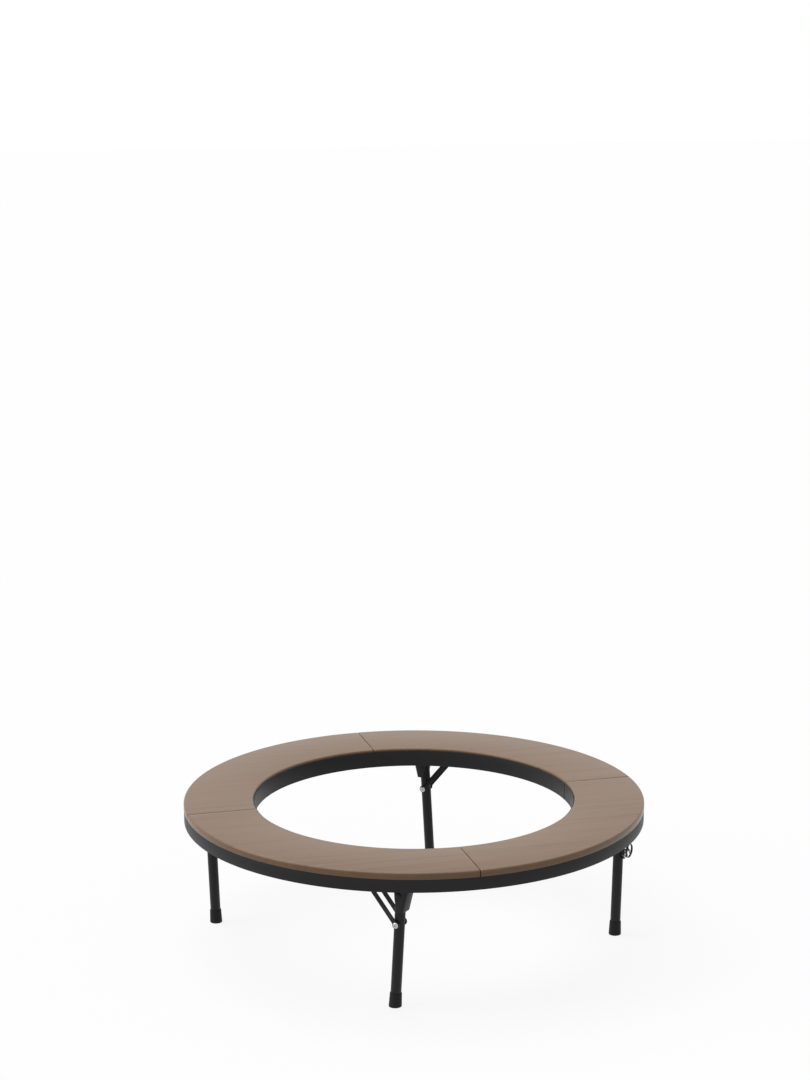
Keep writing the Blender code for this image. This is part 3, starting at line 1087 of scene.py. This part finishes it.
    def soften(self, node: str, name: str, body: str) -> bpy.types.Object:
        """Give a pressed steel piece the rounded edges of its powder coat.

        Args:
            node: The node's name, without its number.
            name: The piece's name, without its number.
            body: The body that it rides on.

        Returns:
            The piece.
        """
        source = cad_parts[f"{node}_{self.number}"]
        piece = source.copy()
        piece.data = source.data.copy()
        bpy.context.scene.collection.objects.link(piece)
        piece.parent = None
        piece.matrix_world = source.matrix_world.copy()
        Bench.settle(piece)
        Bench.merge(piece, self.merge)
        with Bench.editing(piece):
            bpy.ops.mesh.select_all(action="SELECT")
            bpy.ops.mesh.dissolve_limited(angle_limit=math.radians(1.0))
        Bench.round_edges(piece, self.pressed_edge, 2)
        Bench.smooth(piece)
        steel = self.finishes.get(Slot.STEEL)
        nodes = (f"{node}_{self.number}",)
        return self.dress(piece, f"{name}_{self.number}", steel, Slot.STEEL, body, nodes)


@dataclass
class BoardScrews(Piece):
    """The pan-head screws that hold the boards, driven up through the bars under them."""

    under: float = 0.2887
    head: float = 0.0034
    rise: float = 0.0016
    sides: int = 32
    edge: float = 0.0007
    recess_depth: float = 0.0007
    recess_long: float = 0.0034
    recess_wide: float = 0.0007
    radii: tuple = (0.367, 0.424, 0.481)
    rib_offset: float = 0.012
    angle_offset: float = 0.0135
    rail_plane: float = 0.3999
    rail_places: tuple = (-0.235, 0.03, 0.235)

    def build(self) -> None:
        """Build one screw, then set a copy at every place."""
        first = self.build_screw()
        zinc = self.finishes.get(Slot.ZINC)
        for index, place in enumerate(self.places(), start=1):
            screw = first.copy()
            screw.data = first.data.copy()
            bpy.context.scene.collection.objects.link(screw)
            Bench.settle(screw, Matrix.Translation(place))
            self.dress(screw, f"board_screw_{index}", zinc, Slot.ZINC, "frame")
        bpy.data.objects.remove(first, do_unlink=True)

    def places(self) -> list[Vector]:
        """List the screws' places under the bars.

        Returns:
            The places.
        """
        spots = []
        for quarter in range(4):
            turn = Matrix.Rotation(math.radians(90 * quarter), 3, "Z")
            offset = self.rib_offset if quarter % 2 else self.angle_offset
            for radius in self.radii:
                for side in (-1, 1):
                    spots.append(turn @ Vector((radius, side * offset, self.under)))
            turn = Matrix.Rotation(math.radians(90 * quarter - 45), 3, "Z")
            for along in self.rail_places:
                spots.append(turn @ Vector((along, self.rail_plane, self.under)))
        return spots

    def build_screw(self) -> bpy.types.Object:
        """Build a screw head that hangs below its origin, with a cross recess.

        Returns:
            The screw.
        """
        Bench.clear()
        bpy.ops.mesh.primitive_cylinder_add(
            vertices=self.sides,
            radius=self.head,
            depth=self.rise,
            location=(0.0, 0.0, -self.rise / 2),
        )
        screw = bpy.context.active_object
        Bench.settle(screw)
        Bench.round_edges(screw, self.edge, 4, 60.0)
        sizes = (self.recess_long, self.recess_wide)
        for long, wide in (sizes, sizes[::-1]):
            Bench.clear()
            bpy.ops.mesh.primitive_cube_add(size=1.0, location=(0.0, 0.0, -self.rise))
            blade = bpy.context.active_object
            blade.scale = (long, wide, 2 * self.recess_depth)
            Bench.settle(blade)
            Bench.carve(screw, blade, "DIFFERENCE")
        Bench.smooth(screw)
        return screw


@dataclass
class Carried(Piece):
    """The nodes whose own shape is right, which only get their finish."""

    def build(self) -> None:
        """Give each such node its material."""
        steel = ("end_angle", "seam_rib", "leg_rail", "brace_guide", "pivot_rivet")
        for name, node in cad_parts.items():
            if name.startswith(steel):
                self.paint(node, self.finishes.get(Slot.STEEL))
            elif name.startswith("dowel"):
                self.paint(node, self.finishes.get(Slot.ZINC))

    @staticmethod
    def paint(node: bpy.types.Object, material: bpy.types.Material) -> None:
        """Put a material in a node's slots.

        Args:
            node: The node.
            material: The material.
        """
        if not node.material_slots:
            node.data.materials.append(material)
        for slot in node.material_slots:
            slot.material = material


@dataclass(frozen=True)
class Lamp:
    """A broad even light from one side, with the camera's side as the front."""

    name: str
    side: tuple
    spread: float
    strength: float
    distance: float = 3.0

    def add(self, turn: float) -> None:
        """Add the lamp.

        Args:
            turn: The camera's turn round the table, in radians.
        """
        data = bpy.data.lights.new(self.name, "SUN")
        data.angle = math.radians(self.spread)
        data.energy = self.strength
        lamp = bpy.data.objects.new(self.name, data)
        bpy.context.scene.collection.objects.link(lamp)
        come_from = Matrix.Rotation(turn, 3, "Z") @ Vector(self.side)
        lamp.location = self.distance * come_from
        lamp.rotation_euler = (-come_from).to_track_quat("-Z", "Y").to_euler()


@dataclass
class Studio:
    """The floor, the light and the camera."""

    # The camera, with angles in radians and the lens and sensor in millimetres
    turn: float = math.radians(-15.2)
    distance: float = 5.187
    height: float = 1.98886
    pitch: float = 0.211847
    yaw: float = 0.00344
    roll: float = -0.00254
    lens: float = 83.08
    sensor: float = 36.0
    # The floor's and the world's brightness, to the rays that light the table or see it
    floor_size: float = 60.0
    floor_drop: float = 0.0005
    floor_lit: float = 0.40
    floor_seen: float = 0.95
    floor_glow: float = 0.88
    world_lit: float = 0.32
    lamps: tuple = (
        Lamp("top", (-0.30, 0.25, 1.0), 60.0, 1.7),
        Lamp("side", (-1.0, -0.1, 0.55), 40.0, 0.9),
    )

    def build(self) -> None:
        """Set the studio up."""
        self.add_camera()
        self.add_floor()
        self.add_world()
        for lamp in self.lamps:
            lamp.add(self.turn)
        bpy.context.scene.view_settings.view_transform = "Standard"

    def add_camera(self) -> None:
        """Add the camera at the photograph's place."""
        data = bpy.data.cameras.new("camera")
        data.sensor_fit = "VERTICAL"
        data.sensor_height = self.sensor
        data.lens = self.lens
        camera = bpy.data.objects.new("camera", data)
        bpy.context.scene.collection.objects.link(camera)
        around = Matrix.Rotation(self.turn, 4, "Z")
        look = Matrix.Rotation(self.yaw, 4, "Z") @ Matrix.Rotation(math.pi / 2 - self.pitch, 4, "X")
        place = Matrix.Translation((0.0, -self.distance, self.height))
        camera.matrix_world = around @ place @ look @ Matrix.Rotation(self.roll, 4, "Z")
        bpy.context.scene.camera = camera

    @staticmethod
    def seen(graph: Graph) -> Value:
        """Tell the rays that look, straight or by a mirror or glass, from those that light.

        Args:
            graph: The tree.

        Returns:
            1 for such a ray and 0 for one that lights the table.
        """
        path = graph.add("ShaderNodeLightPath")
        names = ("Is Camera Ray", "Is Glossy Ray", "Is Transmission Ray")
        camera, glossy, through = (graph.value(path, name) for name in names)
        return (camera + glossy + through).clamped()

    def add_floor(self) -> None:
        """Add the white floor, which still takes the table's shadow."""
        Bench.clear()
        bpy.ops.mesh.primitive_plane_add(
            size=self.floor_size, location=(0.0, 0.0, -self.floor_drop)
        )
        floor = bpy.context.active_object
        floor.name = "studio_floor"
        graph = Graph("studio_floor")
        seen = self.seen(graph)
        greys = (self.floor_lit, self.floor_seen)
        colour = graph.blend(seen, *((grey, grey, grey, 1.0) for grey in greys))
        graph.dress({"Base Color": colour, "Roughness": 1.0, "Specular IOR Level": 0.0})
        white = {"Color": (1.0, 1.0, 1.0, 1.0), "Strength": 1.0}
        glow = graph.add("ShaderNodeEmission", None, white)
        inputs = {0: seen * self.floor_glow, 1: graph.shader.outputs[0], 2: glow.outputs[0]}
        mix = graph.add("ShaderNodeMixShader", None, inputs)
        graph.feed(graph.tree.nodes["Material Output"].inputs["Surface"], mix.outputs[0])
        floor.data.materials.append(graph.owner)

    def add_world(self) -> None:
        """Add an even white world, dimmer for the rays that light the table."""
        graph = Graph("studio_world", world=True)
        strength = self.seen(graph) * (1.0 - self.world_lit) + self.world_lit
        graph.dress({"Strength": strength, "Color": (1.0, 1.0, 1.0, 1.0)})
        bpy.context.scene.world = graph.owner


def main() -> None:
    """Build the table's pieces and the studio."""
    logging.basicConfig(level=logging.INFO, format="%(message)s")
    finishes = Finishes()
    Studio().build()
    Top(finishes).build()
    Bands(finishes).build()
    for number in range(1, 5):
        Leg(finishes, number).build()
    BoardScrews(finishes).build()
    Carried(finishes).build()


if __name__ == "__main__":
    main()
